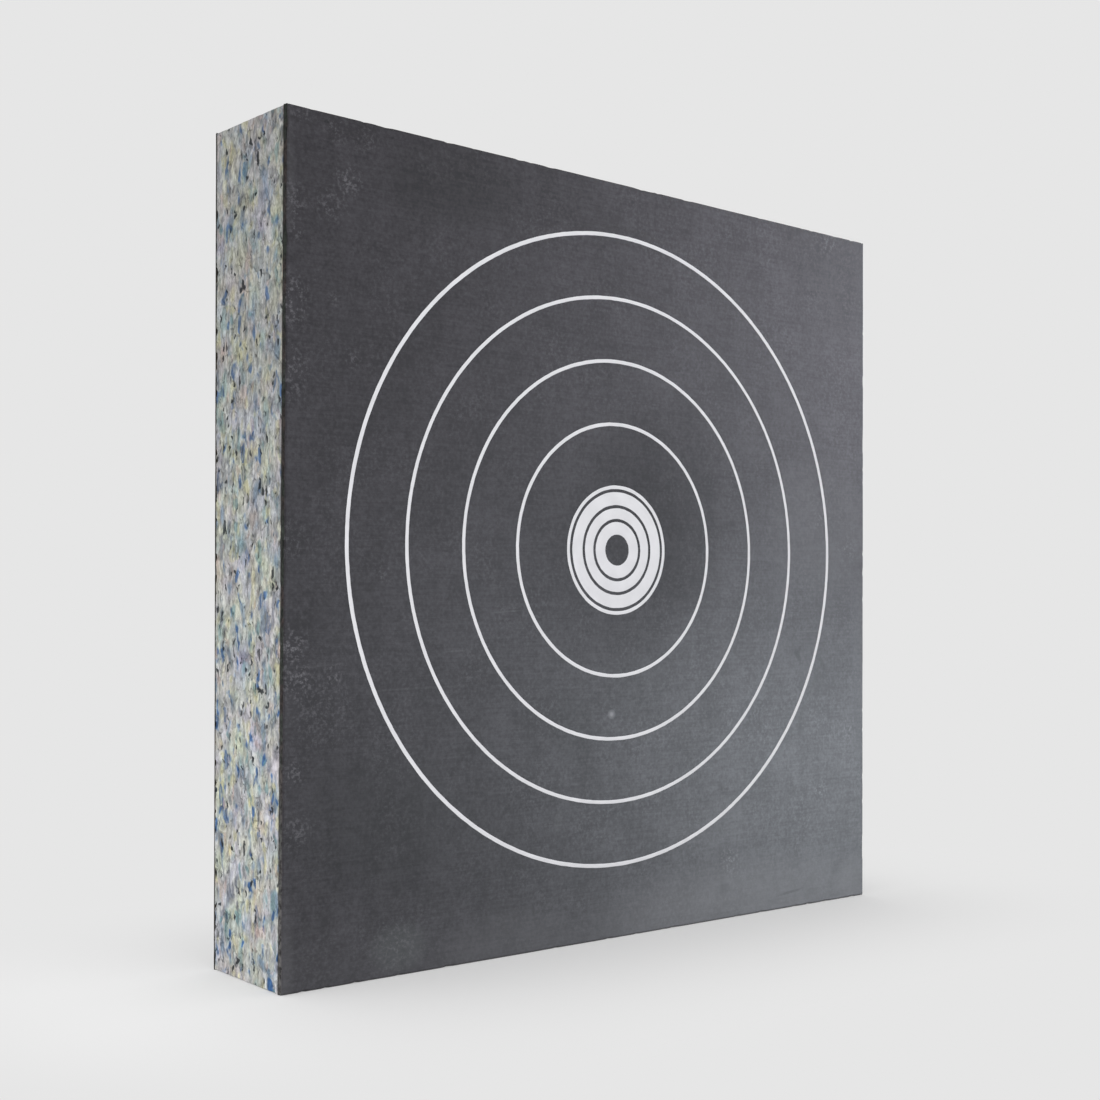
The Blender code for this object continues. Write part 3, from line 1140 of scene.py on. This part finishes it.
def dress_sheets():
    front_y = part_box("front_sheet")[0].y
    rear_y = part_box("back_sheet")[1].y
    make_sheet(
        "face_sheet",
        "front_sheet",
        sheet_material(
            "dark_face_sheet", front_y, FACE_ROUGHNESS, FACE_SCUFFS, FACE_MARKS, FACE_DULLED
        ),
        FACE_SEED,
        faces_front=True,
        spacing=FACE_SPACING,
        arris_radius=FRONT_ARRIS_RADIUS,
        wave=FACE_WAVE,
        nick=FACE_NICK,
    )
    make_sheet(
        "rear_sheet",
        "back_sheet",
        sheet_material("dark_rear_sheet", rear_y, REAR_ROUGHNESS, REAR_SCUFFS, REAR_MARKS, ()),
        REAR_SEED,
        faces_front=False,
        spacing=REAR_SPACING,
        arris_radius=REAR_ARRIS_RADIUS,
        wave=REAR_WAVE,
        nick=REAR_NICK,
    )


def dress_glue():
    """The glue films keep their solids, whose edges show between the layers."""
    material = glue_material()
    for name in ("front_glue_film", "back_glue_film"):
        nodes[name].material_slots[0].material = material


def dress_ink():
    material = ink_material()
    rings = sorted(name for name in nodes if name.endswith("_circle") or name.startswith("bull_"))
    for number, name in enumerate(rings):
        make_ink(name, material, INK_SEED + number)


# The setting


def ground_in_picture(graph):
    """1 for rays that show the ground, directly or in gloss and glass, and 0 for all others."""
    path = graph.add("ShaderNodeLightPath").outputs
    seen = graph.total(path["Is Camera Ray"], path["Is Glossy Ray"])
    return graph.maths("ADD", seen, path["Is Transmission Ray"], clamp=True)


def distance_from_foot(graph):
    """How far a place on the floor lies from the block's foot."""
    squares = []
    for offset, half in zip(graph.split(graph.own_place()), HALF_FOOT):
        past = graph.maths("SUBTRACT", graph.maths("ABSOLUTE", offset), half)
        squares.append(graph.maths("POWER", graph.maths("MAXIMUM", past, 0.0), 2.0))
    return graph.maths("SQRT", graph.total(*squares))


def make_floor():
    mesh = bpy.data.meshes.new("floor")
    half = FLOOR_SIZE / 2
    corners = [(-half, -half, 0), (half, -half, 0), (half, half, 0), (-half, half, 0)]
    mesh.from_pydata(corners, [], [(0, 1, 2, 3)])
    floor = bpy.data.objects.new("floor", mesh)
    floor.location.z = -FLOOR_DROP
    scene.collection.objects.link(floor)
    material, graph = new_material("pale_floor")
    shader = set_surface(graph, (*FLOOR_COLOUR, 1.0), 1.0, 0.0)
    plain_share = graph.ease(distance_from_foot(graph), *SHADOW_REACH, PLAIN_SHARE_AT_FOOT, 1.0)
    plain = graph.add("ShaderNodeEmission", {"Color": (*BACKGROUND, 1.0), "Strength": 1.0})
    share = graph.product(plain_share, ground_in_picture(graph))
    feeds = {0: share, 1: shader.outputs[0], 2: plain.outputs[0]}
    mixed = graph.add("ShaderNodeMixShader", feeds).outputs[0]
    graph.feed(graph.tree.nodes["Material Output"].inputs["Surface"], mixed)
    mesh.materials.append(material)


def make_world():
    world = bpy.data.worlds.new("studio")
    scene.world = world
    world.use_nodes = True
    graph = Graph(world.node_tree)
    light = world.node_tree.nodes["Background"]
    light.inputs["Color"].default_value = (1.0, 1.0, 1.0, 1.0)
    light.inputs["Strength"].default_value = WORLD_LEVEL
    shown = graph.add("ShaderNodeBackground", {"Color": (*BACKGROUND, 1.0), "Strength": 1.0})
    feeds = {0: ground_in_picture(graph), 1: light.outputs[0], 2: shown.outputs[0]}
    mixed = graph.add("ShaderNodeMixShader", feeds).outputs[0]
    graph.feed(world.node_tree.nodes["World Output"].inputs["Surface"], mixed)


def make_lamp(name, place, target, size, radiance, tint, serves):
    """An area lamp that looks at a target. Its power follows from how bright its surface is."""
    width, height = size
    light = bpy.data.lights.new(name, "AREA")
    light.shape = "RECTANGLE"
    light.size = width
    light.size_y = height
    light.color = tint
    light.energy = radiance * width * height * math.pi
    lamp = bpy.data.objects.new(name, light)
    turn = (Vector(target) - Vector(place)).to_track_quat("-Z", "Y").to_matrix().to_4x4()
    lamp.matrix_world = Matrix.Translation(place) @ turn
    lamp.visible_camera = False
    lamp.visible_diffuse = serves != "gloss"
    lamp.visible_glossy = serves != "diffuse"
    scene.collection.objects.link(lamp)


def make_camera():
    data = bpy.data.cameras.new("photo_camera")
    data.sensor_width = SENSOR_WIDTH_MM
    data.lens = FOCAL_PIXELS / PHOTO_PIXELS * SENSOR_WIDTH_MM
    data.shift_x = 0.5 - PRINCIPAL_POINT[0] / PHOTO_PIXELS
    data.shift_y = PRINCIPAL_POINT[1] / PHOTO_PIXELS - 0.5
    data.clip_start = NEAREST_SEEN
    data.clip_end = FARTHEST_SEEN
    camera = bpy.data.objects.new("photo_camera", data)
    back = -Vector(CAMERA_FORWARD).normalized()
    right = Vector(CAMERA_UP).cross(back).normalized()
    up = back.cross(right)
    turn = Matrix((right, up, back)).transposed().to_4x4()
    camera.matrix_world = Matrix.Translation(CAMERA_PLACE) @ turn
    scene.collection.objects.link(camera)
    scene.camera = camera


make_camera()
make_world()
make_floor()
for lamp_name, lamp_values in LAMPS.items():
    make_lamp(lamp_name, *lamp_values)

make_foam(foam_material())
dress_sheets()
dress_glue()
dress_ink()

scene.view_settings.view_transform = "Standard"
